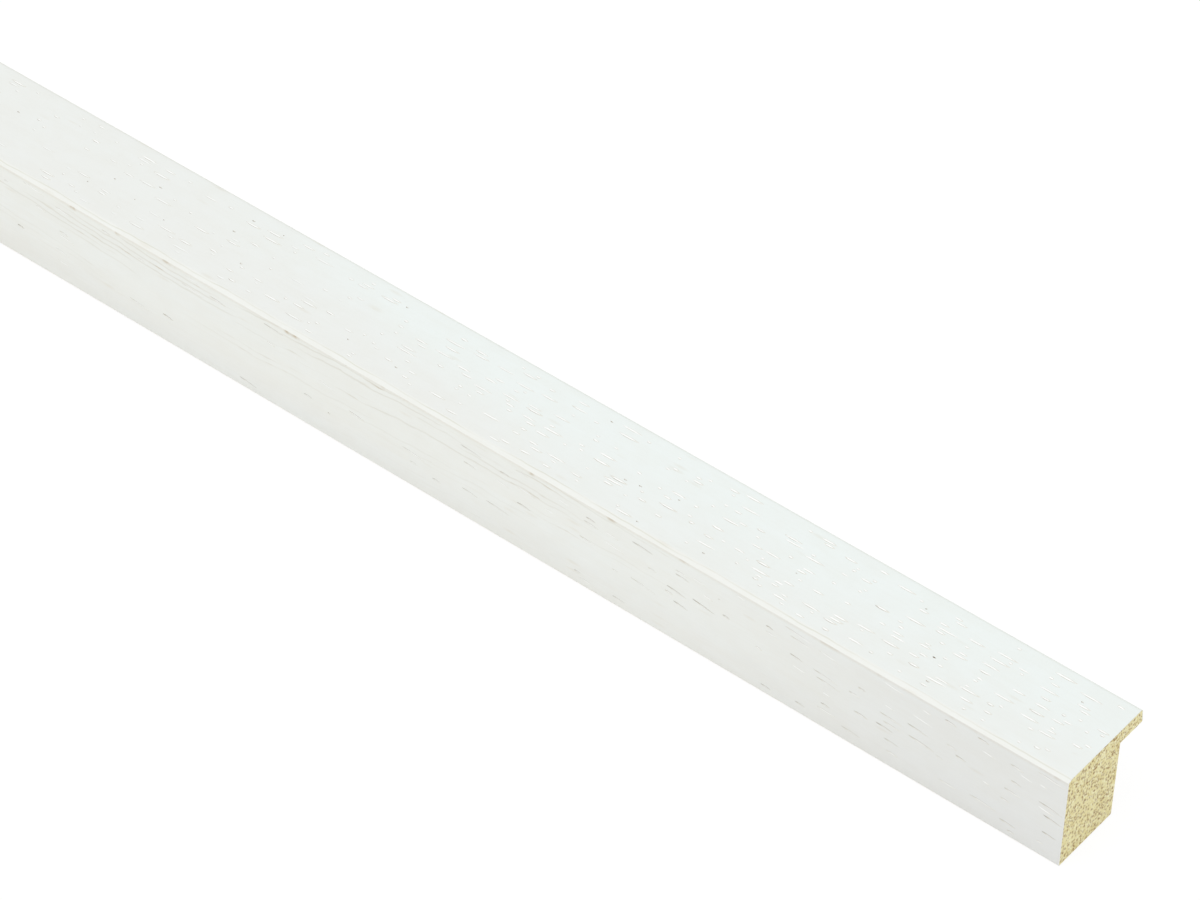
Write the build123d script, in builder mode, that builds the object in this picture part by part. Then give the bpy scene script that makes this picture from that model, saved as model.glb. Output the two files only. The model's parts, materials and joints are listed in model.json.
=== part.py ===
"""Picture frame moulding: one length of rebated stock, lying on its back with its face up.

X runs along the length, Y from the outer side to the lip, and Z from the back up to the face.
The origin is under the middle of the stick, on the surface that its back rests on.
"""

import os

from build123d import *

# Driving dimensions, in millimetres and degrees
stock_length = 2400.0  # one stick, sawn square at both ends
face_width = 20.0  # outer side to the tip of the lip
rebate_width = 6.0  # how far the lip covers the glass
rebate_depth = 16.0  # room for the glass, mount, picture and backing board
lip_thickness = 3.0  # wood left above the rebate
bevel_width = 0.9  # strip of the face that is planed down to the outer arris
bevel_drop = 0.5  # how far that strip has fallen at the arris
sight_lean = 7.0  # degrees that the sight edge leans back from upright
sight_radius = 0.8  # rounding where the sight edge meets the face
tip_radius = 0.4  # rounding on the underside of the lip's tip

# Places across the section that follow from them
outer_side = -face_width / 2
lip_tip = face_width / 2
rebate_wall = lip_tip - rebate_width
face_height = rebate_depth + lip_thickness

with BuildPart() as moulding:
    with BuildSketch(Plane.YZ.offset(-stock_length / 2)) as section:
        with BuildLine():
            back = Line((outer_side, 0), (rebate_wall, 0))
            wall = Line(back @ 1, (rebate_wall, rebate_depth))
            glass_seat = Line(wall @ 1, (lip_tip - tip_radius, rebate_depth))
            tip = JernArc(glass_seat @ 1, glass_seat % 1, tip_radius, 90 + sight_lean)
            sight_edge = PolarLine(
                tip @ 1,
                face_height - (tip @ 1).Y,
                direction=tip % 1,
                length_mode=LengthMode.VERTICAL,
            )
            face = Line(sight_edge @ 1, (outer_side + bevel_width, face_height))
            bevel = Line(face @ 1, (outer_side, face_height - bevel_drop))
            Line(bevel @ 1, back @ 0)
        make_face()
        sight_corner = section.vertices().group_by(Axis.Y)[-1].sort_by(Axis.X)[-1]
        fillet(sight_corner, radius=sight_radius)
    extrude(amount=stock_length)

moulding.part.label = "moulding"
os.makedirs("parts", exist_ok=True)
export_step(moulding.part, "parts/moulding.step")
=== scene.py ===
"""Looks of the picture frame moulding: a white painted stick of open-pored wood with bare sawn ends.

The stick is swept from its section and its open pores are cut into it, both with geometry nodes.
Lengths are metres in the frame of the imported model: X runs along the stick, Y from the outer side
to the lip, and Z from the back up to the face. The end that the camera sees is at the highest X.
"""

import json
import logging
import math
from abc import ABC, abstractmethod
from dataclasses import dataclass, field, fields
from enum import Enum
from functools import cached_property
from typing import Any, ClassVar

import bpy
import numpy as np
from mathutils import Matrix, Vector

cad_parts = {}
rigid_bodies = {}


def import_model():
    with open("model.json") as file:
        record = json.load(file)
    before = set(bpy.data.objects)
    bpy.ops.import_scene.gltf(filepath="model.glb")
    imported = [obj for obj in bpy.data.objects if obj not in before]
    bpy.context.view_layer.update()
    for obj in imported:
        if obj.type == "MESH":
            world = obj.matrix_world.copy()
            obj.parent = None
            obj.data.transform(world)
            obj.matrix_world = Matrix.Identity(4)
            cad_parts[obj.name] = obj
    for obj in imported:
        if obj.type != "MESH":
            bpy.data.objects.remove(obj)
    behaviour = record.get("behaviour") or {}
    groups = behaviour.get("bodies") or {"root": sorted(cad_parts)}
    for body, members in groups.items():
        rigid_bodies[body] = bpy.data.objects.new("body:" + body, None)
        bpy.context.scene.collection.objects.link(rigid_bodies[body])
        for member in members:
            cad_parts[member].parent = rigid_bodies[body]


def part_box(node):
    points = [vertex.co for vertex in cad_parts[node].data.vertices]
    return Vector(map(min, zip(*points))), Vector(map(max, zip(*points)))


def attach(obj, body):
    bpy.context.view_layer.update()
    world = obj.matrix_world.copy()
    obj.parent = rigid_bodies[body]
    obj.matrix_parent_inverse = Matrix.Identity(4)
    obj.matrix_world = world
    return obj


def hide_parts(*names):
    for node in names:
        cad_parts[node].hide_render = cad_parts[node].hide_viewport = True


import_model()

log = logging.getLogger("moulding")

MM = 0.001
Pair = tuple[float, float]
Triple = tuple[float, float, float]
Colour = Triple
Strip = tuple[np.ndarray, int, float, float, int]
Socket = bpy.types.NodeSocket
WHITE: Colour = (1.0, 1.0, 1.0)


def pick(sockets: Any, name: str) -> Socket:
    """Finds the socket in use that has a name, because some nodes keep one for each data type.

    Args:
        sockets: A node's inputs or outputs.
        name: The socket's name.

    Returns:
        The first enabled socket of that name.
    """
    return next(s for s in sockets if s.name == name and s.enabled)


def read(items: Any, name: str, kind: type, columns: int = 1) -> np.ndarray:
    """Reads one property of all the items of a mesh.

    Args:
        items: The mesh's vertices, loops or polygons.
        name: The property.
        kind: The type of its numbers.
        columns: How many numbers an item has.

    Returns:
        The numbers, in the order of the items.
    """
    values = np.empty(columns * len(items), kind)
    items.foreach_get(name, values)
    return values if columns == 1 else values.reshape(-1, columns)


class Graph:
    """A node tree that is filled by short calls."""

    def __init__(self, tree: bpy.types.NodeTree) -> None:
        """Wraps a tree whose nodes are made from here on."""
        self.tree = tree

    def feed(self, socket: Socket, value: Any) -> None:
        """Links an output to a socket, or sets the socket to a plain value.

        Args:
            socket: The input that is fed.
            value: An output socket or a value. A colour comes without its alpha.
        """
        if isinstance(value, Socket):
            self.tree.links.new(value, socket)
        elif socket.type == "RGBA":
            socket.default_value = (*value, 1.0)
        else:
            socket.default_value = value

    def add(self, kind: str, inputs: dict[str, Any] | None = None, **settings: Any) -> bpy.types.Node:
        """Adds a node.

        Args:
            kind: The node's type.
            inputs: What each named input is fed, an output socket or a value.
            **settings: The node's own properties, which are set before its inputs.

        Returns:
            The new node.
        """
        node = self.tree.nodes.new(kind)
        for name, value in settings.items():
            setattr(node, name, value)
        for name, value in (inputs or {}).items():
            self.feed(pick(node.inputs, name), value)
        return node

    def out(self, kind: str, inputs: dict[str, Any] | None = None, **settings: Any) -> Socket:
        """Adds a node and gives its first output."""
        return self.add(kind, inputs, **settings).outputs[0]

    def fill(self, node: bpy.types.Node, values: tuple[Any, ...]) -> Socket:
        """Feeds a node's inputs in their order.

        Args:
            node: The node.
            values: What its first inputs are fed.

        Returns:
            Its first output that is in use.
        """
        for socket, value in zip(node.inputs, values):
            self.feed(socket, value)
        return next(s for s in node.outputs if s.enabled)

    def math(self, operation: str, *values: Any, clamp: bool = False) -> Socket:
        """Adds a Math node fed with the values in order, and gives its output."""
        return self.fill(self.add("ShaderNodeMath", operation=operation, use_clamp=clamp), values)

    def vector(self, operation: str, *values: Any) -> Socket:
        """Adds a Vector Math node fed with the values in order, and gives its output."""
        return self.fill(self.add("ShaderNodeVectorMath", operation=operation), values)

    def times(self, product: Any, *factors: Any) -> Socket:
        """Multiplies a value by other values.

        Args:
            product: The first value.
            *factors: What it is multiplied by in turn.

        Returns:
            The product.
        """
        for factor in factors:
            product = self.math("MULTIPLY", product, factor)
        return product

    def combine(self, x: Any, y: Any, z: Any) -> Socket:
        """Makes a vector of three values."""
        return self.out("ShaderNodeCombineXYZ", {"X": x, "Y": y, "Z": z})

    def split(self, vector: Socket) -> Any:
        """Gives the three values of a vector, in order."""
        return self.add("ShaderNodeSeparateXYZ", {"Vector": vector}).outputs

    def noise(self, place: Socket, detail: float = 2.0, roughness: float = 0.5) -> Socket:
        """Gives smooth noise that changes over about one unit of a place."""
        inputs = {"Vector": place, "Scale": 1.0, "Detail": detail, "Roughness": roughness}
        return self.out("ShaderNodeTexNoise", inputs)

    def ramp(self, value: Any, low: Any, high: Any, start: Any = 0.0, end: Any = 1.0) -> Socket:
        """Eases a value smoothly from start, at low, to end, at high.

        Args:
            value: The value that is read.
            low: Where the ramp begins.
            high: Where it ends. It may be under low.
            start: The output at low.
            end: The output at high.

        Returns:
            The eased value.
        """
        inputs = {"Value": value, "From Min": low, "From Max": high, "To Min": start, "To Max": end}
        return self.out("ShaderNodeMapRange", inputs, interpolation_type="SMOOTHSTEP")

    def blend(self, amount: Any, under: Any, over: Any) -> Socket:
        """Mixes two colours by an amount and gives the mixed colour."""
        inputs = {"Factor": amount, "A": under, "B": over}
        return pick(self.add("ShaderNodeMix", inputs, data_type="RGBA").outputs, "Result")


class Group(Graph):
    """A shader node group with named inputs and outputs, built once and placed in many materials."""

    def __init__(self, name: str, inputs: dict[str, float], outputs: list[str]) -> None:
        """Makes the group and its sockets, of which the first input is the place.

        Args:
            name: The group's name.
            inputs: Each other input's name and default.
            outputs: The names of its outputs, which are all values.
        """
        super().__init__(bpy.data.node_groups.new(name, "ShaderNodeTree"))
        sockets = self.tree.interface.new_socket
        sockets("Vector", in_out="INPUT", socket_type="NodeSocketVector")
        for socket, default in inputs.items():
            sockets(socket, in_out="INPUT", socket_type="NodeSocketFloat").default_value = default
        for socket in outputs:
            sockets(socket, in_out="OUTPUT", socket_type="NodeSocketFloat")
        self.given = self.add("NodeGroupInput").outputs
        self.result = self.add("NodeGroupOutput").inputs

    def stretched(self) -> Socket:
        """Measures the place by the group's own length and width.

        Returns:
            The place in those units, shifted by the group's offset.
        """
        scale = self.combine(self.given["Along"], self.given["Across"], self.given["Across"])
        place = self.vector("DIVIDE", self.given["Vector"], scale)
        return self.vector("ADD", place, self.given["Offset"])

    def scatter(self, cells: bpy.types.Node, body: Socket) -> None:
        """Puts out the group's share of the cells as a mask, and a random value for each cell.

        Args:
            cells: The texture that the cells come from.
            body: The shape that lies in each cell.
        """
        drawn = self.add("ShaderNodeSeparateColor", {"Color": cells.outputs["Color"]}).outputs
        kept = self.math("LESS_THAN", drawn[0], self.given["Share"])
        self.feed(self.result["Mask"], self.times(body, kept))
        self.feed(self.result["Random"], drawn[1])

    def place(self, graph: Graph, inputs: dict[str, Any]) -> Any:
        """Places the group in a material's tree with its own values, and gives its outputs."""
        return graph.add("ShaderNodeGroup", inputs, node_tree=self.tree).outputs


class Builder(Graph):
    """A geometry node tree with named inputs, used as a modifier and then made a plain mesh."""

    def __init__(self, name: str, inputs: dict[str, str]) -> None:
        """Makes the tree and its sockets.

        Args:
            name: The tree's name.
            inputs: Each input's name and its socket type without the common prefix.
        """
        super().__init__(bpy.data.node_groups.new(name, "GeometryNodeTree"))
        sockets = self.tree.interface.new_socket
        sockets("Geometry", in_out="INPUT", socket_type="NodeSocketGeometry")
        sockets("Geometry", in_out="OUTPUT", socket_type="NodeSocketGeometry")
        self.keys = {
            key: sockets(key, in_out="INPUT", socket_type="NodeSocket" + kind).identifier
            for key, kind in inputs.items()
        }
        self.given = self.add("NodeGroupInput").outputs
        self.result = self.add("NodeGroupOutput").inputs

    def random(self, low: Any, high: Any, step: int, shared: Socket | None = None) -> Socket:
        """Draws a number for each element from the tree's own seed.

        Args:
            low: The least that is drawn.
            high: The most that is drawn.
            step: What is added to the seed, so that each draw has its own numbers.
            shared: Elements with the same value here draw the same number.

        Returns:
            The number drawn.
        """
        seed = self.math("ADD", self.given["Seed"], float(step))
        inputs = {"Min": low, "Max": high, "Seed": seed}
        if shared is not None:
            inputs["ID"] = shared
        return pick(self.add("FunctionNodeRandomValue", inputs, data_type="FLOAT").outputs, "Value")

    def store(self, geometry: Socket, name: str, value: Socket, domain: str) -> Socket:
        """Keeps a value on the geometry under a name, and gives the geometry."""
        inputs = {"Geometry": geometry, "Name": name, "Value": value}
        return self.out("GeometryNodeStoreNamedAttribute", inputs, domain=domain)

    def known(self, name: str) -> Socket:
        """Reads a value that the geometry keeps under a name."""
        return self.out("GeometryNodeInputNamedAttribute", {"Name": name}, data_type="FLOAT")

    def realize(self, geometry: Socket) -> Socket:
        """Makes instances plain geometry."""
        return self.out("GeometryNodeRealizeInstances", {"Geometry": geometry})

    def coat(self, geometry: Socket, material: Socket, chosen: Any = True) -> Socket:
        """Sets the material of the chosen faces, and gives the geometry."""
        inputs = {"Geometry": geometry, "Selection": chosen, "Material": material}
        return self.out("GeometryNodeSetMaterial", inputs)

    def run(self, mesh: bpy.types.Mesh, values: dict[str, Any]) -> bpy.types.Mesh:
        """Runs the tree once on a mesh.

        Args:
            mesh: The mesh that goes in.
            values: What each named input is set to.

        Returns:
            What comes out, as a plain mesh.
        """
        holder = bpy.data.objects.new(mesh.name, mesh)
        bpy.context.scene.collection.objects.link(holder)
        modifier = holder.modifiers.new(self.tree.name, "NODES")
        modifier.node_group = self.tree
        for key, value in values.items():
            modifier[self.keys[key]] = value
        scene = bpy.context.evaluated_depsgraph_get()
        shown = holder.evaluated_get(scene)
        made = bpy.data.meshes.new_from_object(shown, preserve_all_data_layers=True, depsgraph=scene)
        holder.modifiers.remove(modifier)
        bpy.data.objects.remove(holder)
        return made


def streak_group() -> Group:
    """Builds soft noise drawn out along the stick, as wood fibres are.

    Returns:
        The group, which puts out the noise.
    """
    sizes = {"Along": 20.0 * MM, "Across": 0.5 * MM, "Offset": 0.0}
    group = Group("Fibre Streaks", sizes, ["Value"])
    group.feed(group.result["Value"], group.noise(group.stretched(), 3.0, 0.6))
    return group


def fleck_group() -> Group:
    """Builds scattered flecks of one length and width, of which a share is kept.

    Returns:
        The group, which puts out the flecks' mask and a random value for each.
    """
    sizes = {"Along": 2.0 * MM, "Across": 0.4 * MM, "Share": 0.2, "Softness": 0.5, "Offset": 0.0}
    group = Group("Flecks", sizes, ["Mask", "Random"])
    rim = 0.5
    core = group.times(rim, group.math("SUBTRACT", 1.0, group.given["Softness"]))
    cells = group.add("ShaderNodeTexVoronoi", {"Vector": group.stretched(), "Scale": 0.5}, feature="F1")
    group.scatter(cells, group.ramp(cells.outputs["Distance"], rim, core))
    return group


def dot_group() -> Group:
    """Builds uneven dots scattered over a sawn end, of which a share is kept.

    Returns:
        The group, which puts out the dots' mask and a random value for each.
    """
    sizes = {"Pitch": 0.6 * MM, "Radius": 0.15 * MM, "Share": 0.5, "Offset": 0.0}
    group = Group("End Grain Dots", sizes, ["Mask", "Random"])
    given = group.given
    at = group.split(given["Vector"])
    place = group.vector("DIVIDE", group.combine(at[1], at[2], 0.0), given["Pitch"])
    place = group.vector("ADD", place, given["Offset"])
    warp = group.add("ShaderNodeTexNoise", {"Vector": place, "Scale": 2.2, "Detail": 2.0})
    warp = group.vector("SUBTRACT", warp.outputs["Color"], (0.5, 0.5, 0.5))
    place = group.vector("MULTIPLY_ADD", warp, (0.7, 0.7, 0.0), place)
    cells = {"Vector": place, "Scale": 1.0}
    cells = group.add("ShaderNodeTexVoronoi", cells, voronoi_dimensions="2D", feature="F1")
    away = group.times(cells.outputs["Distance"], given["Pitch"])
    core = group.times(given["Radius"], 0.1)
    group.scatter(cells, group.ramp(away, given["Radius"], core))
    return group


def ring_group() -> Group:
    """Builds the thin broken lines where growth rings run out of a surface along the stick.

    Returns:
        The group, which puts out the lines' mask.
    """
    sizes = {"Spacing": 1.2 * MM, "Line": 0.15, "Wander": 10.0 * MM, "Offset": 0.0}
    group = Group("Growth Rings", sizes, ["Mask"])
    given = group.given
    tremble = 2.0 * MM
    at = group.split(given["Vector"])
    shift = group.vector("ADD", given["Vector"], given["Offset"])
    slow = group.noise(group.vector("MULTIPLY", shift, (14.0, 12.0, 12.0)), 0.0)
    quick = group.noise(group.vector("MULTIPLY", shift, (130.0, 150.0, 150.0)), 3.0)
    wave = group.math("ADD", group.times(slow, given["Wander"]), group.times(quick, tremble))
    depth = group.math("ADD", group.math("ADD", at[1], at[2]), wave)
    turn = group.math("FRACT", group.math("DIVIDE", depth, given["Spacing"]))
    away = group.math("ABSOLUTE", group.math("SUBTRACT", turn, 0.5))
    line = group.ramp(away, given["Line"], group.times(given["Line"], 0.3))
    there = group.noise(group.vector("MULTIPLY", shift, (22.0, 420.0, 420.0)))
    group.feed(group.result["Mask"], group.times(line, group.ramp(there, 0.46, 0.6)))
    return group


@dataclass(frozen=True)
class Effects:
    """The shader groups that the finishes share."""

    streaks: Group = field(default_factory=streak_group)
    flecks: Group = field(default_factory=fleck_group)
    dots: Group = field(default_factory=dot_group)
    rings: Group = field(default_factory=ring_group)


class Surface(Graph):
    """The node tree of a new material, with the shared effects at hand."""

    def __init__(self, name: str, effects: Effects | None = None) -> None:
        """Makes the material and the Principled shader that feeds its surface.

        Args:
            name: The material's name.
            effects: The shared shader groups, for a material that uses them.
        """
        self.material = bpy.data.materials.new(name)
        self.material.use_nodes = True
        super().__init__(self.material.node_tree)
        self.tree.nodes.clear()
        self.effects = effects
        self.shader = self.add("ShaderNodeBsdfPrincipled")
        self.output = self.add("ShaderNodeOutputMaterial", {"Surface": self.shader.outputs[0]})

    @cached_property
    def place(self) -> Socket:
        """Gives the Object coordinates."""
        return self.add("ShaderNodeTexCoord").outputs["Object"]

    @cached_property
    def at(self) -> Any:
        """Gives X, Y and Z of the Object coordinates."""
        return self.split(self.place)

    def effect(self, group: Group, **sizes: float) -> Any:
        """Places a shared effect on the Object coordinates.

        Args:
            group: The effect.
            **sizes: Its other inputs, under their names in small letters.

        Returns:
            The effect's outputs.
        """
        inputs = {name.capitalize(): size for name, size in sizes.items()}
        return group.place(self, {"Vector": self.place} | inputs)

    def streaks(self, size: Pair, offset: float = 0.0) -> Socket:
        """Gives the noise of fibre streaks of a length and a width."""
        return self.effect(self.effects.streaks, along=size[0], across=size[1], offset=offset)[0]

    def flecks(self, size: Pair, **sizes: float) -> Any:
        """Gives the mask and the random value of flecks of a length and a width."""
        return self.effect(self.effects.flecks, along=size[0], across=size[1], **sizes)

    def dots(self, size: Triple, offset: float = 0.0) -> Any:
        """Gives the mask and the random value of dots of a pitch, a radius and a share."""
        pitch, radius, share = size
        return self.effect(self.effects.dots, pitch=pitch, radius=radius, share=share, offset=offset)

    def rings(self, size: Triple, offset: float = 0.0) -> Socket:
        """Gives the mask of growth rings of a spacing, a thickness of line and a wander."""
        spacing, line, wander = size
        return self.effect(
            self.effects.rings, spacing=spacing, line=line, wander=wander, offset=offset
        )["Mask"]

    def dress(
        self, colour: Any, roughness: Any, height: Socket | None = None, relief: Pair = (0.0, 0.0)
    ) -> bpy.types.Material:
        """Feeds the shader.

        Args:
            colour: The base colour.
            roughness: The roughness.
            height: What stands up from the surface, where it has fine relief.
            relief: How strongly the relief shows, and its depth.

        Returns:
            The finished material.
        """
        self.feed(self.shader.inputs["Base Color"], colour)
        self.feed(self.shader.inputs["Roughness"], roughness)
        if height is not None:
            bump = {"Height": height, "Strength": relief[0], "Distance": relief[1]}
            self.feed(self.shader.inputs["Normal"], self.out("ShaderNodeBump", bump))
        return self.material


@dataclass
class Section:
    """The outline across the stick, as the corners that its rounding starts from."""

    width: float
    height: float
    rebate_width: float = 6.0 * MM
    lip_thickness: float = 3.0 * MM
    bevel_width: float = 0.9 * MM
    bevel_drop: float = 0.5 * MM
    sight_lean: float = math.radians(7.0)
    sight_radius: float = 0.8 * MM
    tip_radius: float = 0.4 * MM
    bevel_radius: float = 0.6 * MM
    arris_radius: float = 0.12 * MM

    @property
    def outer(self) -> float:
        """Gives the Y of the outer side."""
        return -self.width / 2

    @property
    def bevel(self) -> float:
        """Gives the Y of the line where the bevel meets the face."""
        return self.outer + self.bevel_width

    @property
    def wall(self) -> float:
        """Gives the Y of the rebate's wall."""
        return self.width / 2 - self.rebate_width

    @property
    def seat(self) -> float:
        """Gives the height of the seat that the glass lies under."""
        return self.height - self.lip_thickness

    @property
    def arris(self) -> float:
        """Gives the height of the arris between the bevel and the outer side."""
        return self.height - self.bevel_drop

    def corners(self) -> list[Triple]:
        """Lists the corners from the back round by the lip.

        Returns:
            Each corner as its Y, its Z and the radius that rounds it.
        """
        half = (math.pi / 2 - self.sight_lean) / 2
        tip = self.width / 2 - self.tip_radius + self.tip_radius / math.tan(half)
        sight = tip - math.tan(self.sight_lean) * self.lip_thickness
        return [
            (self.outer, 0.0, self.arris_radius),
            (self.wall, 0.0, self.arris_radius),
            (self.wall, self.seat, 0.0),
            (tip, self.seat, self.tip_radius),
            (sight, self.height, self.sight_radius),
            (self.bevel, self.height, self.bevel_radius),
            (self.outer, self.arris, self.arris_radius),
        ]

    def mesh(self) -> bpy.types.Mesh:
        """Draws the outline.

        Returns:
            A closed ring of edges that carries each corner's radius.
        """
        corners = self.corners()
        count = len(corners)
        mesh = bpy.data.meshes.new("moulding_section")
        edges = [(i, (i + 1) % count) for i in range(count)]
        mesh.from_pydata([(y, z, 0.0) for y, z, _ in corners], edges, [])
        radii = mesh.attributes.new("rounding", "FLOAT", "POINT")
        radii.data.foreach_set("value", [r for _, _, r in corners])
        return mesh


@dataclass(frozen=True)
class WhitePaint(ABC):
    """Satin white paint, thin enough for the grain under it to tint it."""

    name: str
    section: Section
    cool: Colour = (0.842, 0.892, 0.876)
    warm: Colour = (0.828, 0.842, 0.816)
    wood: Colour = (0.620, 0.530, 0.360)
    fibre: Pair = (12.0 * MM, 0.3 * MM)
    fibre_tint: float = 0.03
    mottle: Pair = (6.0 * MM, 3.0 * MM)
    mottle_tint: float = 0.05
    stain: Pair = (2.2 * MM, 0.5 * MM)
    stain_share: float = 0.05
    stain_tint: float = 0.16
    roughness: float = 0.42
    relief: Pair = (0.25, 0.04 * MM)

    @abstractmethod
    def coat(self, surface: Surface) -> Socket:
        """Mixes the whites of the paint, and gives its colour where nothing wears it."""

    @abstractmethod
    def wear(self, surface: Surface, tone: Socket) -> Socket:
        """Wears paint of a tone, and gives its colour."""

    def material(self, effects: Effects) -> bpy.types.Material:
        """Builds the paint.

        Args:
            effects: The shared shader groups.

        Returns:
            The material.
        """
        surface = Surface(self.name, effects)
        fine = surface.streaks(self.fibre)
        stain = surface.flecks(self.stain, share=self.stain_share, softness=0.9)["Mask"]
        tints = [
            surface.ramp(fine, 0.3, 0.75, 0.0, self.fibre_tint),
            surface.ramp(surface.streaks(self.mottle), 0.3, 0.7, 0.0, self.mottle_tint),
            surface.times(stain, self.stain_tint),
        ]
        tone = self.coat(surface)
        for tint in tints:
            tone = surface.blend(tint, tone, self.wood)
        rough = surface.ramp(fine, 0.3, 0.7, self.roughness - 0.05, self.roughness + 0.07)
        return surface.dress(self.wear(surface, tone), rough, fine, self.relief)


@dataclass(frozen=True)
class FacePaint(WhitePaint):
    """The paint on the face, the bevel and the sight edge."""

    bevel: Colour = (0.833, 0.846, 0.814)
    olive: Colour = (0.545, 0.550, 0.410)
    drift: Pair = (160.0 * MM, 60.0 * MM)
    drift_offset: float = 69.0
    line_width: float = 0.1 * MM
    line_sway: float = 1.0 * MM
    sway: Pair = (12.0 * MM, 10.0 * MM)
    fade: Pair = (15.0 * MM, 10.0 * MM)
    fade_offset: float = 5.0
    # Painted shade on the turn of the lip and along its top edge.
    turn_tint: float = 0.15
    edge_tint: float = 0.45

    def coat(self, surface: Surface) -> Socket:
        """Mixes two whites of the paint, with painted cool light towards the lip, and tones the bevel.

        Args:
            surface: The material's tree.

        Returns:
            The paint's colour where nothing wears it.
        """
        line, lip = self.section.bevel, 0.3 * self.section.width
        # The cooler, lighter white towards the lip is painted cool light; along the stick the two whites
        # drift.
        across = surface.ramp(surface.at[1], line, lip, 0.45, 0.9)
        along = surface.ramp(surface.streaks(self.drift, self.drift_offset), 0.4, 0.6, 0.25, 1.1)
        share = surface.math("MULTIPLY", across, along, clamp=True)
        tone = surface.blend(share, self.warm, self.cool)
        return surface.blend(surface.math("GREATER_THAN", surface.at[1], line), self.bevel, tone)

    def wear(self, surface: Surface, tone: Socket) -> Socket:
        """Darkens a fine line where the bevel meets the face, and paints shade on the turn of the lip.

        Args:
            surface: The material's tree.
            tone: The paint's colour.

        Returns:
            The worn colour.
        """
        section, at = self.section, surface.at
        sway = surface.math("SUBTRACT", surface.streaks(self.sway), 0.5)
        swayed = surface.math("ADD", at[1], surface.times(sway, self.line_sway))
        away = surface.math("SUBTRACT", swayed, section.bevel - 2 * self.line_width)
        away = surface.math("ABSOLUTE", away)
        line = surface.ramp(away, 1.1 * self.line_width, 0.6 * self.line_width)
        fade = surface.streaks(self.fade, self.fade_offset)
        line = surface.times(line, surface.ramp(fade, 0.36, 0.6, 0.08, 0.36))
        # Painted shade where the lip rounds away from the light, and along its top edge.
        rim = section.width / 2 - section.sight_radius
        turn = surface.ramp(at[1], rim - 0.4 * MM, rim + 0.1 * MM, 0.0, self.turn_tint)
        edge = surface.ramp(at[1], rim, rim + 0.5 * MM, 0.0, self.edge_tint)
        high = surface.ramp(at[2], section.height - 0.7 * MM, section.height - 0.4 * MM)
        turn = surface.math("MAXIMUM", turn, surface.times(edge, high))
        return surface.blend(surface.math("MAXIMUM", line, turn), tone, self.olive)


@dataclass(frozen=True)
class SidePaint(WhitePaint):
    """The paint on the outer side, worn along its edges, with painted shade at the ends and the foot."""

    cool: Colour = (0.850, 0.874, 0.846)
    warm: Colour = (0.850, 0.865, 0.825)
    stain_share: float = 0.03
    half: float = field(kw_only=True)
    bare: Colour = (0.400, 0.280, 0.120)
    # The colours of the painted shade towards the ends and towards the foot.
    grime: Colour = (0.500, 0.490, 0.530)
    scuff: Colour = (0.530, 0.450, 0.430)
    ring: Colour = (0.540, 0.500, 0.400)
    drift: Pair = (110.0 * MM, 8.0 * MM)
    rings: Triple = (1.2 * MM, 0.18, 18.0 * MM)
    ring_offset: float = 0.3
    ring_tint: float = 0.28
    breaks: Pair = (6.0 * MM, 0.8 * MM)
    break_offset: float = 3.0
    # Painted shade darkens the side over this reach from each end, and over this height from the foot.
    handled: float = 90.0 * MM
    handled_tint: float = 0.19
    foot: float = 10.0 * MM
    foot_tint: float = 0.085
    fold: Pair = (0.85 * MM, 0.12 * MM)
    fold_tint: float = 0.17
    rub: Pair = (6.0 * MM, 10.0 * MM)

    def coat(self, surface: Surface) -> Socket:
        """Mixes the two whites of the paint in broad drifts."""
        broad = surface.ramp(surface.streaks(self.drift), 0.35, 0.65)
        return surface.blend(broad, self.cool, self.warm)

    def wear(self, surface: Surface, tone: Socket) -> Socket:
        """Adds growth rings under the arris, painted shade at the ends and the foot, and a worn fold.

        Args:
            surface: The material's tree.
            tone: The paint's colour.

        Returns:
            The worn colour.
        """
        section, at = self.section, surface.at
        inward = surface.math("SUBTRACT", self.half, surface.math("ABSOLUTE", at[0]))
        clear = surface.ramp(inward, 50.0 * MM, 120.0 * MM)
        high = surface.ramp(at[2], 0.3 * section.height, 0.75 * section.height, 0.1, 1.0)
        rings = surface.times(surface.rings(self.rings, self.ring_offset), high, clear)
        breaks = surface.streaks(self.breaks, self.break_offset)
        fold = surface.ramp(surface.math("SUBTRACT", section.arris, at[2]), *self.fold)
        rubbed = surface.ramp(surface.streaks(self.rub), 0.56, 0.66, 0.0, 0.6)
        gone = surface.times(fold, rubbed, surface.math("MULTIPLY_ADD", clear, 0.7, 0.3))
        marks = [
            (surface.times(rings, self.ring_tint), self.ring),
            (surface.times(rings, surface.ramp(breaks, 0.58, 0.68, 0.0, 0.4)), self.bare),
            # Painted shade: darker towards each end and towards the foot.
            (surface.ramp(inward, self.handled, 0.0, 0.0, self.handled_tint), self.grime),
            (surface.ramp(at[2], self.foot, 0.0, 0.0, self.foot_tint), self.scuff),
            (surface.times(fold, self.fold_tint), self.wood),
            (gone, self.bare),
        ]
        for mark, colour in marks:
            tone = surface.blend(mark, tone, colour)
        return tone


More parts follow.
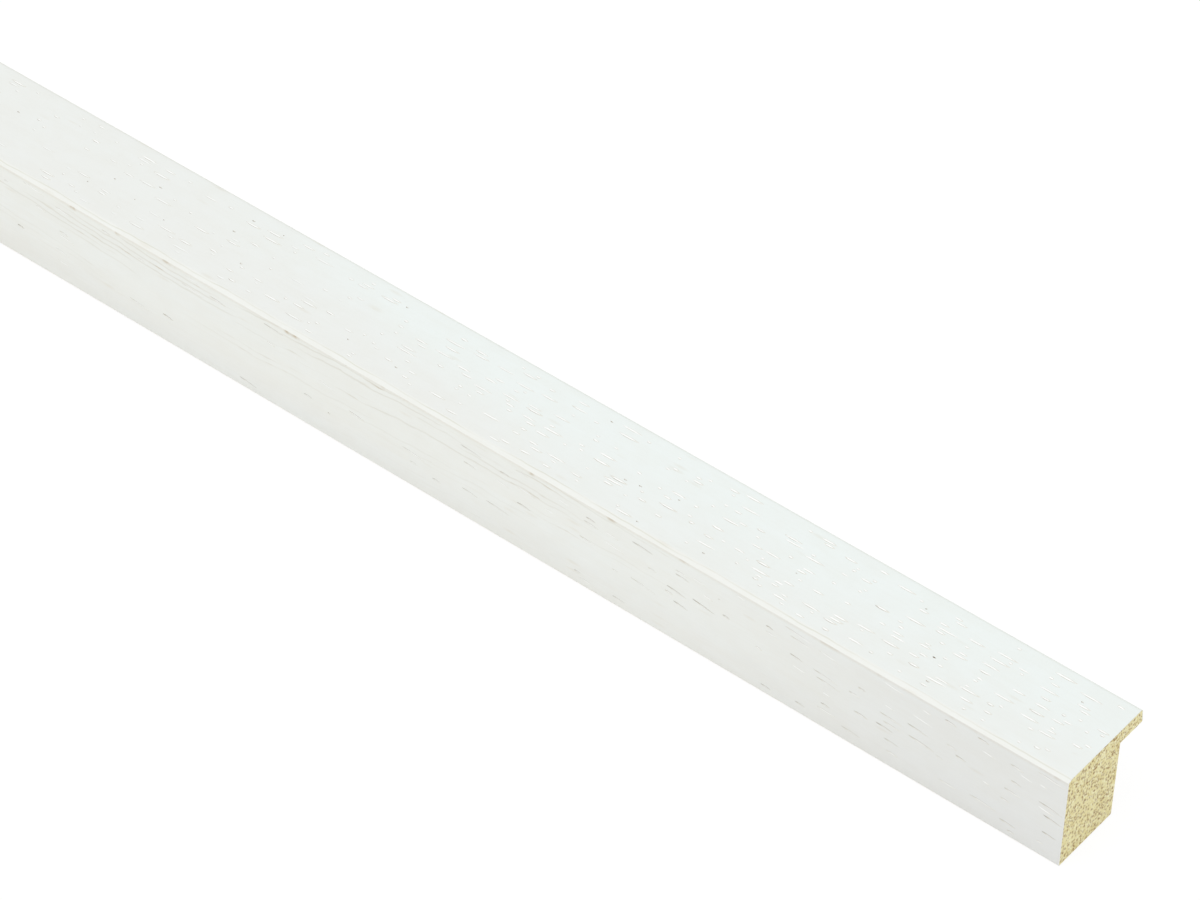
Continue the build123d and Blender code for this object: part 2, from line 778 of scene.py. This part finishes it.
@dataclass(frozen=True)
class PoreFill:
    """What lies in an open pore: a keel of pooled paint and painted highlight, and rims of wood and
    painted shade.
    """

    name: str = "pore_fill"
    # Whiter than the coat: pooled paint, and partly a painted highlight.
    white: Colour = (0.99, 1.0, 0.995)
    olive: Colour = (0.60, 0.57, 0.45)
    brown: Colour = (0.13, 0.08, 0.03)
    paint: Colour = (0.828, 0.852, 0.830)
    # How dark the rims go where the paint is thin; on the rim turned from the light this is also painted
    # shade.
    thin: float = 0.56
    roughness: float = 0.5

    def material(self) -> bpy.types.Material:
        """Builds the fill, which reads each pore's tone and cover, and the way along and across it.

        Returns:
            The material.
        """
        surface = Surface(self.name)
        tone, cover, along, across = (
            surface.add("ShaderNodeAttribute", attribute_name="pore_" + name).outputs["Fac"]
            for name in ("tone", "cover", "along", "across")
        )
        fade = surface.ramp(along, 0.08, 0.45, 1.0, 0.25)
        fade = surface.math("MAXIMUM", fade, surface.ramp(tone, 0.96, 0.99))
        head = surface.times(tone, fade)
        # The rim turned from the light gets painted shade, darker and wider in brown pores, where it is
        # also brown stain.
        thin = surface.math("MULTIPLY_ADD", tone, 1.6 * self.thin, self.thin)
        thin = surface.times(thin, surface.ramp(along, 0.6, 0.95, 1.0, 0.5))
        start = surface.math("MULTIPLY_ADD", tone, 0.32, -0.32)
        stain_and_shade_rim = surface.ramp(across, start, surface.math("SUBTRACT", start, 0.16), 0.0, thin)
        high_rim = surface.ramp(across, 0.42, 0.56, 0.0, 0.8 * self.thin)
        shade = surface.math("ADD", head, surface.math("ADD", stain_and_shade_rim, high_rim), clamp=True)
        colour = surface.blend(surface.ramp(shade, 0.0, 0.5), self.white, self.olive)
        colour = surface.blend(surface.ramp(shade, 0.5, 1.0), colour, self.brown)
        return surface.dress(surface.blend(cover, colour, self.paint), self.roughness)


@dataclass(frozen=True)
class SawnEnd:
    """Bare end grain: pale yellow wood full of small brown pores, with the paint's edge round it."""

    section: Section
    name: str = "sawn_end"
    pale: Colour = (0.930, 0.885, 0.560)
    deep: Colour = (0.660, 0.520, 0.130)
    pore: Colour = (0.230, 0.070, 0.002)
    cream: Colour = (0.990, 0.980, 0.720)
    paint: Colour = (0.860, 0.890, 0.870)
    cloud: Pair = (1.0, 2.2 * MM)
    grit: Pair = (1.0, 0.16 * MM)
    light: Triple = (0.6 * MM, 0.25 * MM, 0.45)
    light_offset: float = 7.0
    large_pores: Triple = (0.8 * MM, 0.34 * MM, 0.6)
    small_pores: Triple = (0.55 * MM, 0.24 * MM, 0.5)
    film: float = 0.13 * MM
    roughness: float = 0.75
    relief: Pair = (0.5, 0.1 * MM)

    def material(self, effects: Effects) -> bpy.types.Material:
        """Builds the end grain.

        Args:
            effects: The shared shader groups.

        Returns:
            The material.
        """
        surface = Surface(self.name, effects)
        cloud = surface.ramp(surface.streaks(self.cloud), 0.35, 0.7, 0.0, 0.3)
        grit = surface.streaks(self.grit)
        light = surface.dots(self.light, self.light_offset)["Mask"]
        pores = self.pores(surface)
        tone = surface.blend(cloud, self.pale, self.deep)
        tone = surface.blend(surface.ramp(grit, 0.44, 0.6, 0.0, 0.6), tone, self.deep)
        tone = surface.blend(light, tone, self.cream)
        tone = surface.blend(pores, tone, self.pore)
        tone = surface.blend(self.rim(surface), tone, self.paint)
        return surface.dress(tone, self.roughness, surface.math("SUBTRACT", grit, pores), self.relief)

    def pores(self, surface: Surface) -> Socket:
        """Dots the end with pores of two sizes.

        Args:
            surface: The material's tree.

        Returns:
            The pores' mask.
        """
        found: Any = 0.0
        for size in (self.large_pores, self.small_pores):
            dots = surface.dots(size)
            strength = surface.ramp(dots["Random"], 0.0, 1.0, 0.5, 1.0)
            found = surface.math("MAXIMUM", found, surface.times(dots["Mask"], strength))
        return found

    def rim(self, surface: Surface) -> Socket:
        """Finds the thin edge of the paint round the end.

        Args:
            surface: The material's tree.

        Returns:
            The edge's mask.
        """
        section, lean = self.section, self.section.sight_lean
        slope = math.atan2(section.bevel_drop, section.bevel_width)
        sides = [
            ((0.0, -1.0, 0.0), (0.0, section.outer, 0.0)),
            ((0.0, 0.0, 1.0), (0.0, 0.0, section.height)),
            ((0.0, -math.sin(slope), math.cos(slope)), (0.0, section.outer, section.arris)),
            ((0.0, math.cos(lean), math.sin(lean)), (0.0, section.width / 2, section.seat)),
        ]
        found: Any = 0.0
        for outward, point in sides:
            offset = surface.vector("SUBTRACT", surface.place, point)
            away = surface.vector("DOT_PRODUCT", offset, outward)
            edge = surface.ramp(away, -1.3 * self.film, -0.7 * self.film)
            found = surface.math("MAXIMUM", found, edge)
        return found


@dataclass(frozen=True)
class BareWood:
    """Bare long grain on the back and in the rebate, planed and left unpainted."""

    name: str = "bare_wood"
    pale: Colour = (0.76, 0.68, 0.45)
    deep: Colour = (0.62, 0.51, 0.29)
    pore: Colour = (0.34, 0.22, 0.09)
    fibre: Pair = (30.0 * MM, 0.4 * MM)
    drift: Pair = (250.0 * MM, 5.0 * MM)
    rings: Triple = (2.5 * MM, 0.25, 4.0 * MM)
    ring_tint: float = 0.35
    dash: Pair = (2.4 * MM, 0.16 * MM)
    dash_share: float = 0.35
    roughness: float = 0.65
    relief: Pair = (0.4, 0.1 * MM)

    def material(self, effects: Effects) -> bpy.types.Material:
        """Builds the long grain.

        Args:
            effects: The shared shader groups.

        Returns:
            The material.
        """
        surface = Surface(self.name, effects)
        fine = surface.streaks(self.fibre)
        broad = surface.ramp(surface.streaks(self.drift), 0.3, 0.7)
        rings = surface.times(surface.rings(self.rings), self.ring_tint)
        dashes = surface.flecks(self.dash, share=self.dash_share, softness=0.4)
        dark = surface.times(dashes["Mask"], surface.ramp(dashes["Random"], 0.0, 1.0, 0.2, 0.8))
        tone = surface.blend(broad, self.pale, self.deep)
        tone = surface.blend(surface.ramp(fine, 0.4, 0.7, 0.0, 0.5), tone, self.deep)
        tone = surface.blend(rings, tone, self.deep)
        tone = surface.blend(dark, tone, self.pore)
        return surface.dress(tone, self.roughness, surface.math("SUBTRACT", fine, dark), self.relief)


class Region(Enum):
    """The surfaces that pores open on: the turn that lays a lattice on one, and which pore wall is lit.
    """

    # The sign points to the wall of each pore that faces the light; the fill paints shade on the other
    # rim.
    FACE = ((0.0, 0.0, 0.0), 1.0)
    OUTER_SIDE = ((math.pi / 2, 0.0, 0.0), -1.0)


@dataclass
class PoreField:
    """Open pores on one flat surface, at most one to each cell of a lattice so that none touch.

    Each field that is a plain float is also an input of the tree, under the same name.
    """

    region: Region
    place: Triple
    area: Pair
    seed: int
    share: float
    lean: float
    brown_low: float = 0.45
    brown_high: float = 0.08
    brown_tone: float = 0.2
    cover: float = 0.5
    least_cover: float = 0.0
    sparse: float = 0.5
    apart: float = 0.5
    pin_share: float = 0.03
    pin_size: float = 0.24 * MM
    spread: float = 2.0
    cell_length: float = 5.0 * MM
    row_pitch: float = 0.82 * MM
    shortest: float = 0.7 * MM
    longest: float = 4.2 * MM
    pore_width: float = 0.49 * MM
    pore_depth: float = 0.04 * MM

    # The cutter's sides and bays, and how wide and deep it is under the surface at unit size.
    sides: ClassVar[int] = 3
    bays: ClassVar[int] = 3
    rim: ClassVar[float] = 1.212
    keel: ClassVar[float] = 1.05

    # Where the noise that gathers the pores into patches starts and ends to do so.
    patches: ClassVar[Pair] = (0.38, 0.6)

    @classmethod
    def labels(cls) -> dict[str, str]:
        """Names the tree's input for each field that is a plain float."""
        names = [known.name for known in fields(cls) if known.type is float]
        return {name: name.replace("_", " ").title() for name in names}

    @classmethod
    def cutter(cls, tree: Builder) -> Socket:
        """Shapes the cutter of a pore: a slim boat a unit long, with its keel down in the wood.

        Args:
            tree: The tree that it is made in.

        Returns:
            The cutter's mesh, whose corners know how far along and across it they lie.
        """
        tip, shift, sink = 0.2, 0.1, cls.keel - 1.0
        prism = {"Vertices": cls.sides, "Side Segments": cls.bays, "Depth": 1.0}
        prism |= {"Radius Top": 1.0, "Radius Bottom": 1.0}
        prism = tree.out("GeometryNodeMeshCone", prism, fill_type="NGON")
        at = tree.split(tree.out("GeometryNodeInputPosition"))
        # Across is positive towards the lit wall; the fill paints shade on the rim across from it.
        across = tree.times(at[1], tree.given["Painted Wall"])
        prism = tree.store(prism, "pore_along", at[2], "CORNER")
        prism = tree.store(prism, "pore_across", across, "CORNER")
        end = tree.math("ABSOLUTE", tree.math("MULTIPLY_ADD", at[2], 2.0, -1.0))
        girth = tree.math("MULTIPLY_ADD", tree.math("POWER", end, 1.5), tip - 1.0, 1.0)
        along = tree.math("SUBTRACT", at[2], 0.5 + shift)
        along = tree.math("MULTIPLY_ADD", end, shift, along)
        down = tree.math("SUBTRACT", tree.times(at[0], girth, -1.0), sink)
        shape = tree.combine(along, tree.times(at[1], girth), down)
        return tree.out("GeometryNodeSetPosition", {"Geometry": prism, "Position": shape})

    @classmethod
    def shades(cls, tree: Builder, level: Socket, pin: Socket, patch: Socket) -> tuple[Socket, Socket]:
        """Draws what each pore looks like.

        Args:
            tree: The tree.
            level: How far up the surface the pore lies, from -0.5 to 0.5.
            pin: Whether the pore is a pin hole.
            patch: The noise that gathers the pores.

        Returns:
            How dark the pore is, and how much of it the paint covers.
        """
        given = tree.given
        share = tree.ramp(level, -0.5, 0.5, given["Brown Low"], given["Brown High"])
        brown = tree.math("LESS_THAN", tree.random(0.0, 1.0, 7), share)
        deep = tree.math("POWER", tree.random(0.35, 1.0, 8), 1.3)
        brown = tree.times(brown, given["Brown Tone"], deep)
        faint = tree.ramp(patch, *cls.patches, 0.16, 0.0)
        faint = tree.math("ADD", faint, tree.random(0.01, 0.06, 10))
        dark = tree.times(pin, tree.random(0.75, 1.0, 11))
        shade = tree.math("MAXIMUM", tree.math("MAXIMUM", dark, brown), faint)
        cover = tree.ramp(patch, *cls.patches, given["Cover"], given["Least Cover"])
        large = tree.math("SUBTRACT", 1.0, pin)
        return shade, tree.times(cover, tree.random(0.3, 1.7, 13), large)

    @staticmethod
    def girths(tree: Builder, pin: Socket) -> tuple[Socket, Socket]:
        """Draws how large each pore is.

        Args:
            tree: The tree.
            pin: Whether the pore is a pin hole.

        Returns:
            The pore's length and width.
        """
        given = tree.given
        draw = tree.math("POWER", tree.random(0.0, 1.0, 2), given["Spread"])
        reach = tree.math("SUBTRACT", given["Longest"], given["Shortest"])
        length = tree.math("MULTIPLY_ADD", draw, reach, given["Shortest"])
        short = tree.times(given["Pin Size"], tree.random(1.0, 3.0, 12))
        length = tree.ramp(pin, 0.0, 1.0, length, short)
        width = tree.times(given["Pore Width"], tree.random(0.8, 1.1, 3))
        return length, tree.ramp(pin, 0.0, 1.0, width, given["Pin Size"])

    @classmethod
    def kept(cls, tree: Builder, pin: Socket, patch: Socket) -> Socket:
        """Chooses the cells that have a pore, seldom two side by side.

        Args:
            tree: The tree.
            pin: Whether the pore is a pin hole.
            patch: The noise that gathers the pores.

        Returns:
            Whether the cell has its pore.
        """
        given = tree.given
        chance = tree.times(given["Share"], tree.ramp(patch, *cls.patches, given["Sparse"], 1.4))
        kept = tree.math("LESS_THAN", tree.random(0.0, 1.0, 6), chance)
        beside = tree.math("ADD", tree.out("GeometryNodeInputIndex"), 1.0)
        beside = tree.out("GeometryNodeFieldAtIndex", {"Value": kept, "Index": beside})
        crowded = tree.math("LESS_THAN", tree.random(0.0, 1.0, 14), given["Apart"])
        kept = tree.math("SUBTRACT", kept, tree.times(beside, crowded), clamp=True)
        return tree.math("MAXIMUM", kept, pin)

    @classmethod
    def tree(cls) -> Builder:
        """Builds the lattice that scatters the pores of one surface.

        Returns:
            The tree.
        """
        kinds = dict.fromkeys([*cls.labels().values(), "Painted Wall"], "Float")
        kinds |= dict.fromkeys(["Columns", "Rows", "Seed"], "Int")
        kinds |= {"Place": "Vector", "Turn": "Vector", "Fill": "Material"}
        tree = Builder("Pore Field", kinds)
        given = tree.given
        wide = tree.times(given["Cell Length"], tree.math("SUBTRACT", given["Columns"], 1.0))
        high = tree.times(given["Row Pitch"], tree.math("SUBTRACT", given["Rows"], 1.0))
        lattice = {"Size X": wide, "Vertices X": given["Columns"]}
        lattice |= {"Size Y": high, "Vertices Y": given["Rows"]}
        lattice = tree.out("GeometryNodeMeshGrid", lattice)
        where = tree.out("GeometryNodeInputPosition")
        at = tree.split(where)
        drift = tree.vector("ADD", where, tree.times(given["Seed"], 0.37))
        patch = tree.noise(tree.vector("MULTIPLY", drift, (4.0, 40.0, 1.0)))
        sway = tree.noise(tree.vector("MULTIPLY", drift, (12.0, 40.0, 1.0)))
        pin = tree.math("LESS_THAN", tree.random(0.0, 1.0, 1), given["Pin Share"])
        shade, cover = cls.shades(tree, tree.math("DIVIDE", at[1], high), pin, patch)
        lattice = tree.store(lattice, "shade", shade, "POINT")
        lattice = tree.store(lattice, "cover", cover, "POINT")
        length, width = cls.girths(tree, pin)
        room = tree.math("SUBTRACT", tree.times(given["Cell Length"], 0.96), length)
        slide = tree.times(room, tree.random(-0.5, 0.5, 4))
        column = tree.math("ROUND", tree.math("DIVIDE", at[0], given["Cell Length"]))
        lift = tree.math("ADD", tree.random(-0.16, 0.16, 5), tree.random(-0.4, 0.4, 9, column))
        lift = tree.times(given["Row Pitch"], lift)
        moved = {"Geometry": lattice, "Offset": tree.combine(slide, lift, 0.0)}
        lean = tree.times(given["Lean"], tree.ramp(sway, 0.3, 0.7, 0.5, 1.3))
        deep = tree.math("DIVIDE", given["Pore Depth"], cls.keel)
        set_in = {
            "Points": tree.out("GeometryNodeSetPosition", moved),
            "Selection": cls.kept(tree, pin, patch),
            "Instance": cls.cutter(tree),
            "Rotation": tree.out("FunctionNodeEulerToRotation", {"Euler": tree.combine(0.0, 0.0, lean)}),
            "Scale": tree.combine(length, tree.math("DIVIDE", width, cls.rim), deep),
        }
        laid = {
            "Geometry": tree.out("GeometryNodeInstanceOnPoints", set_in),
            "Translation": given["Place"],
            "Rotation": tree.out("FunctionNodeEulerToRotation", {"Euler": given["Turn"]}),
        }
        pores = tree.realize(tree.out("GeometryNodeTransform", laid))
        pores = tree.store(pores, "pore_tone", tree.known("shade"), "FACE")
        pores = tree.store(pores, "pore_cover", tree.known("cover"), "FACE")
        tree.feed(tree.result["Geometry"], tree.coat(pores, given["Fill"]))
        return tree

    def cutters(self, tree: Builder, fill: bpy.types.Material) -> bpy.types.Mesh:
        """Makes the shapes that the pores are cut with.

        Args:
            tree: The pore field's tree.
            fill: The material of the pores' walls.

        Returns:
            The cutters, as one mesh of separate shapes.
        """
        turn, lit_wall = self.region.value
        values = {label: getattr(self, name) for name, label in self.labels().items()}
        values |= {
            "Columns": int(self.area[0] / self.cell_length),
            "Rows": int(self.area[1] / self.row_pitch),
            "Place": self.place,
            "Turn": turn,
            "Painted Wall": lit_wall,
            "Seed": self.seed,
            "Fill": fill,
        }
        made = tree.run(bpy.data.meshes.new("pores_" + self.region.name.lower()), values)
        log.info("%s: %d pores", made.name, len(made.vertices) // (self.sides * (self.bays + 1)))
        return made


@dataclass
class BakeMap:
    """The map that a bake of the stick goes through: strips along it, each cut into equal runs."""

    section: Section
    length: float
    pixels: int = 1024
    runs: int = 3
    gap: int = 4
    end_scale: float = 5.8 / MM
    sight_rows: int = 14
    wall_rows: int = 32
    back_rows: int = 28
    seat_rows: int = 12
    side_rows: int = 92
    face_rows: int = 98
    skin: float = 0.2 * MM
    end_skin: float = 0.001 * MM

    def strips(self, facing: np.ndarray, middle: np.ndarray) -> list[Strip]:
        """Sorts the faces into strips. A face that fits more than one goes to the first.

        Args:
            facing: The faces' normals.
            middle: The faces' middles.

        Returns:
            Each strip's faces, the axis across it, where that starts and ends, and its rows of pixels.
        """
        section, lip = self.section, self.section.width / 2
        lipward, up = facing[:, 1], facing[:, 2]
        y, z = middle[:, 1], middle[:, 2]
        sight = (lipward > 0.7) & (z > section.seat) & (up < 0.7)
        wall = (lipward > 0.7) & (np.abs(y - section.wall) < self.skin) & (z < section.seat)
        back = (up < -0.7) & (z < self.skin)
        seat = (up < -0.3) & (z > section.seat - self.skin)
        side = (y < section.outer + self.skin) & (z < section.arris)
        return [
            (sight, 2, section.seat, section.height, self.sight_rows),
            (wall, 2, 0.0, section.seat, self.wall_rows),
            (back, 1, section.outer, section.wall, self.back_rows),
            (seat, 1, section.wall, lip, self.seat_rows),
            (side, 2, 0.0, section.height, self.side_rows),
            (np.ones(len(y), bool), 1, section.outer, lip, self.face_rows),
        ]

    def lay(self, mesh: bpy.types.Mesh) -> None:
        """Gives the mesh the map, with the most room for the painted surfaces.

        Args:
            mesh: The finished stick.
        """
        section, half = self.section, self.length / 2
        corner = read(mesh.vertices, "co", np.float32, 3)[read(mesh.loops, "vertex_index", np.int32)]
        counts = read(mesh.polygons, "loop_total", np.int32)
        middle = read(mesh.polygons, "center", np.float32, 3)
        strips = self.strips(read(mesh.polygons, "normal", np.float32, 3), middle)
        strip = np.select([chosen for chosen, *_ in strips], np.arange(len(strips)))
        run = np.clip(((middle[:, 0] + half) / self.length * self.runs).astype(int), 0, self.runs - 1)
        sawn = np.abs(middle[:, 0]) > half - self.end_skin
        strip, run, sawn = (np.repeat(known, counts) for known in (strip, run, sawn))
        along = (corner[:, 0] + half) * self.runs / self.length - run
        across = self.gap + along * (self.pixels - 2 * self.gap)
        up_by = np.zeros(len(corner))
        base = self.gap
        for index, (_, axis, low, high, rows) in enumerate(strips):
            for part in range(self.runs):
                here = (strip == index) & (run == part)
                up_by[here] = base + (corner[here, axis] - low) / (high - low) * rows
                base += rows + self.gap
        aside = np.where(corner[:, 0] > 0, section.width * self.end_scale + 2 * self.gap, self.gap)
        across[sawn] = (aside + (corner[:, 1] - section.outer) * self.end_scale)[sawn]
        up_by[sawn] = (base + corner[:, 2] * self.end_scale)[sawn]
        log.info("bake map: %d of %d rows", base + section.height * self.end_scale, self.pixels)
        flat = np.stack([across, up_by], 1) / self.pixels
        layer = mesh.uv_layers.new(name="OFBake", do_init=False)
        layer.uv.foreach_set("vector", flat.astype(np.float32).ravel())


@dataclass
class Moulding:
    """The stick: one length of wood, painted on its face and outer side."""

    length: float
    section: Section
    bays: int = 48
    rounds: int = 6
    effects: Effects = field(default_factory=Effects)

    def finishes(self) -> dict[str, bpy.types.Material]:
        """Builds the finishes.

        Returns:
            Each finish under the name that the sweep's tree has for it.
        """
        section, effects = self.section, self.effects
        return {
            "Face Paint": FacePaint("white_paint_face", section).material(effects),
            "Side Paint": SidePaint("white_paint_side", section, half=self.length / 2).material(effects),
            "Bare Wood": BareWood().material(effects),
            "Sawn End": SawnEnd(section).material(effects),
        }

    def sweep_tree(self) -> Builder:
        """Builds the tree that rounds the section's corners and draws it along the stick.

        Returns:
            The tree.
        """
        kinds = {"Length": "Float", "Bays": "Int", "Rounds": "Int", "Seat": "Float"}
        kinds |= dict.fromkeys(["Face Paint", "Side Paint", "Bare Wood", "Sawn End"], "Material")
        tree = Builder("Moulding Sweep", kinds)
        given = tree.given
        outline = tree.out("GeometryNodeMeshToCurve", {"Mesh": given["Geometry"]})
        rounded = {"Curve": outline, "Count": given["Rounds"], "Radius": tree.known("rounding")}
        rounded = tree.out("GeometryNodeFilletCurve", rounded, mode="POLY")
        start = tree.combine(tree.times(given["Length"], -0.5), 0.0, 0.0)
        end = tree.combine(tree.times(given["Length"], 0.5), 0.0, 0.0)
        spine = tree.out("GeometryNodeCurvePrimitiveLine", {"Start": start, "End": end})
        count = tree.math("ADD", given["Bays"], 1.0)
        spine = tree.out("GeometryNodeResampleCurve", {"Curve": spine, "Count": count})
        spine = tree.out("GeometryNodeSetCurveTilt", {"Curve": spine, "Tilt": math.pi})
        swept = {"Curve": spine, "Profile Curve": rounded, "Fill Caps": True}
        stick = tree.realize(tree.out("GeometryNodeCurveToMesh", swept))
        facing = tree.split(tree.out("GeometryNodeInputNormal"))
        where = tree.split(tree.out("GeometryNodeInputPosition"))
        under = tree.math("LESS_THAN", where[2], given["Seat"])
        wall = tree.times(tree.math("GREATER_THAN", facing[1], 0.9), under)
        coats = {
            "Face Paint": True,
            "Side Paint": tree.math("LESS_THAN", facing[1], -0.7),
            "Bare Wood": tree.math("MAXIMUM", tree.math("LESS_THAN", facing[2], -0.3), wall),
            "Sawn End": tree.math("GREATER_THAN", tree.math("ABSOLUTE", facing[0]), 0.5),
        }
        for coat, chosen in coats.items():
            stick = tree.coat(stick, given[coat], chosen)
        tree.feed(tree.result["Geometry"], stick)
        return tree

    def carve_tree(self) -> Builder:
        """Builds the tree that cuts the pores into the stick and fills their walls.

        Returns:
            The tree.
        """
        tree = Builder("Carve Pores", {"Pores": "Collection", "Fill": "Material"})
        given = tree.given
        pores = tree.realize(tree.out("GeometryNodeCollectionInfo", {"Collection": given["Pores"]}))
        cut = {"Mesh 1": given["Geometry"], "Mesh 2": pores}
        cut = tree.out("GeometryNodeMeshBoolean", cut, operation="DIFFERENCE", solver="MANIFOLD")
        inside = tree.math("GREATER_THAN", tree.known("pore_tone"), 0.0)
        tree.feed(tree.result["Geometry"], tree.coat(tree.realize(cut), given["Fill"], inside))
        return tree

    def pore_fields(self) -> list[PoreField]:
        """Lays out the pores.

        Returns:
            The pores of the face and those of the outer side.
        """
        section = self.section
        low = section.bevel + 0.3 * MM
        high = section.width / 2 - 2 * section.sight_radius
        face = PoreField(
            Region.FACE,
            (0.0, (low + high) / 2, section.height),
            (self.length, high - low),
            seed=41,
            share=0.6,
            lean=math.radians(0.5),
        )
        side = PoreField(
            Region.OUTER_SIDE,
            (0.0, section.outer, section.arris / 2),
            (self.length, section.arris - 1.2 * MM),
            seed=49,
            share=0.42,
            lean=math.radians(-7.0),
            brown_low=0.85,
            brown_high=0.5,
            brown_tone=0.95,
            cover=0.35,
            least_cover=0.12,
            sparse=0.12,
            pin_share=0.008,
            spread=1.3,
            cell_length=6.0 * MM,
            row_pitch=1.2 * MM,
            shortest=1.2 * MM,
            longest=5.4 * MM,
            pore_width=0.34 * MM,
        )
        return [face, side]

    def build(self) -> bpy.types.Object:
        """Sweeps the stick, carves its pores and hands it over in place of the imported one.

        Returns:
            The finished piece.
        """
        fill = PoreFill().material()
        values = {"Length": self.length, "Seat": self.section.seat}
        values |= {"Bays": self.bays, "Rounds": self.rounds}
        mesh = self.sweep_tree().run(self.section.mesh(), values | self.finishes())
        scatter = PoreField.tree()
        pores = bpy.data.collections.new("pores")
        for pore_field in self.pore_fields():
            cutters = pore_field.cutters(scatter, fill)
            pores.objects.link(bpy.data.objects.new(cutters.name, cutters))
        mesh = self.carve_tree().run(mesh, {"Pores": pores, "Fill": fill})
        for cutter in list(pores.objects):
            bpy.data.objects.remove(cutter)
        bpy.data.collections.remove(pores)
        BakeMap(self.section, self.length).lay(mesh)
        mesh.name = "painted_moulding"
        piece = bpy.data.objects.new("painted_moulding", mesh)
        bpy.context.scene.collection.objects.link(piece)
        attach(piece, "root")
        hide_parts("moulding")
        return piece


@dataclass
class Studio:
    """A white floor, soft light from all round and a key from above, and the camera."""

    end: float
    dome: float = 0.875
    key: float = 0.57
    key_angle: float = math.radians(50.0)
    key_from: Triple = (-0.3, -0.45, 0.84)
    floor_size: float = 12.0
    floor_drop: float = 0.2 * MM
    floor_colour: Colour = (0.905, 0.905, 0.905)
    glow: float = 1.05
    glow_share: float = 0.85
    lens: float = 152.35
    sensor: float = 36.0
    nearest: float = 10.0 * MM
    eye: Triple = (0.2598, -0.46204, 0.58096)
    azimuth: float = math.radians(37.789)
    elevation: float = math.radians(43.823)
    roll: float = math.radians(1.563)

    def build(self) -> None:
        """Makes everything that is round the stick."""
        scene = bpy.context.scene
        scene.view_settings.view_transform = "Standard"
        self.sky(scene)
        self.floor(scene)
        self.lamp(scene)
        self.camera(scene)

    @staticmethod
    def shown(graph: Graph) -> Socket:
        """Tells the rays that show the background from those that light the stick.

        Args:
            graph: The tree of the floor or of the sky.

        Returns:
            1 for a ray that shows the background, and 0 for one that lights the stick.
        """
        path = graph.add("ShaderNodeLightPath").outputs
        mirrored = graph.math("MAXIMUM", path["Is Glossy Ray"], path["Is Transmission Ray"])
        return graph.math("MAXIMUM", path["Is Camera Ray"], mirrored)

    def sky(self, scene: bpy.types.Scene) -> None:
        """Lights the stick evenly from all round, and shows plain white to the camera.

        Args:
            scene: The scene that gets the sky.
        """
        world = bpy.data.worlds.new("studio")
        world.use_nodes = True
        world.node_tree.nodes.clear()
        graph = Graph(world.node_tree)
        strength = graph.ramp(self.shown(graph), 0.0, 1.0, self.dome, 1.0)
        light = graph.out("ShaderNodeBackground", {"Color": WHITE, "Strength": strength})
        graph.add("ShaderNodeOutputWorld", {"Surface": light})
        scene.world = world

    def floor(self, scene: bpy.types.Scene) -> None:
        """Lays a white floor that keeps a soft shadow and is clear from below.

        Args:
            scene: The scene that gets the floor.
        """
        half = self.floor_size / 2
        mesh = bpy.data.meshes.new("floor")
        corners = [(-half, -half), (half, -half), (half, half), (-half, half)]
        mesh.from_pydata([(x, y, -self.floor_drop) for x, y in corners], [], [(0, 1, 2, 3)])
        floor = bpy.data.objects.new("floor", mesh)
        surface = Surface("white_floor")
        mesh.materials.append(surface.dress(self.floor_colour, 1.0))
        surface.shader.inputs["Specular IOR Level"].default_value = 0.0
        glow = surface.out("ShaderNodeEmission", {"Color": WHITE, "Strength": self.glow})
        share = surface.times(self.shown(surface), self.glow_share)
        lit = surface.fill(surface.add("ShaderNodeMixShader"), (share, surface.shader.outputs[0], glow))
        below = surface.add("ShaderNodeNewGeometry").outputs["Backfacing"]
        clear = surface.out("ShaderNodeBsdfTransparent")
        sided = surface.fill(surface.add("ShaderNodeMixShader"), (below, lit, clear))
        surface.feed(surface.output.inputs["Surface"], sided)
        scene.collection.objects.link(floor)

    def lamp(self, scene: bpy.types.Scene) -> None:
        """Hangs the key light, wide enough for soft shade.

        Args:
            scene: The scene that gets the light.
        """
        light = bpy.data.lights.new("key", "SUN")
        light.energy = self.key
        light.angle = self.key_angle
        lamp = bpy.data.objects.new("key", light)
        lamp.rotation_euler = Vector(self.key_from).to_track_quat("Z", "Y").to_euler()
        scene.collection.objects.link(lamp)

    def camera(self, scene: bpy.types.Scene) -> None:
        """Sets the camera where the photograph was taken from.

        Args:
            scene: The scene that gets the camera.
        """
        flat = math.cos(self.elevation)
        aside, away = math.sin(self.azimuth) * flat, -math.cos(self.azimuth) * flat
        back = Vector((aside, away, math.sin(self.elevation)))
        right = Vector((0.0, 0.0, 1.0)).cross(back).normalized()
        up = back.cross(right)
        across = math.cos(self.roll) * right + math.sin(self.roll) * up
        upright = math.cos(self.roll) * up - math.sin(self.roll) * right
        optics = bpy.data.cameras.new("camera")
        optics.lens = self.lens
        optics.sensor_width = self.sensor
        optics.clip_start = self.nearest
        camera = bpy.data.objects.new("camera", optics)
        turned = Matrix((across, upright, back)).transposed().to_4x4()
        spot = Vector(self.eye) + Vector((self.end, 0.0, 0.0))
        camera.matrix_world = Matrix.Translation(spot) @ turned
        scene.collection.objects.link(camera)
        scene.camera = camera


def main() -> None:
    """Builds the moulding and the studio round it."""
    logging.basicConfig(level=logging.INFO, format="%(name)s: %(message)s")
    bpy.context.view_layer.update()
    low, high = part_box("moulding")
    size = high - low
    piece = Moulding(size.x, Section(size.y, size.z)).build()
    log.info("%s: %d triangles", piece.name, sum(len(p.vertices) - 2 for p in piece.data.polygons))
    Studio(high.x).build()


if __name__ == "__main__":
    main()
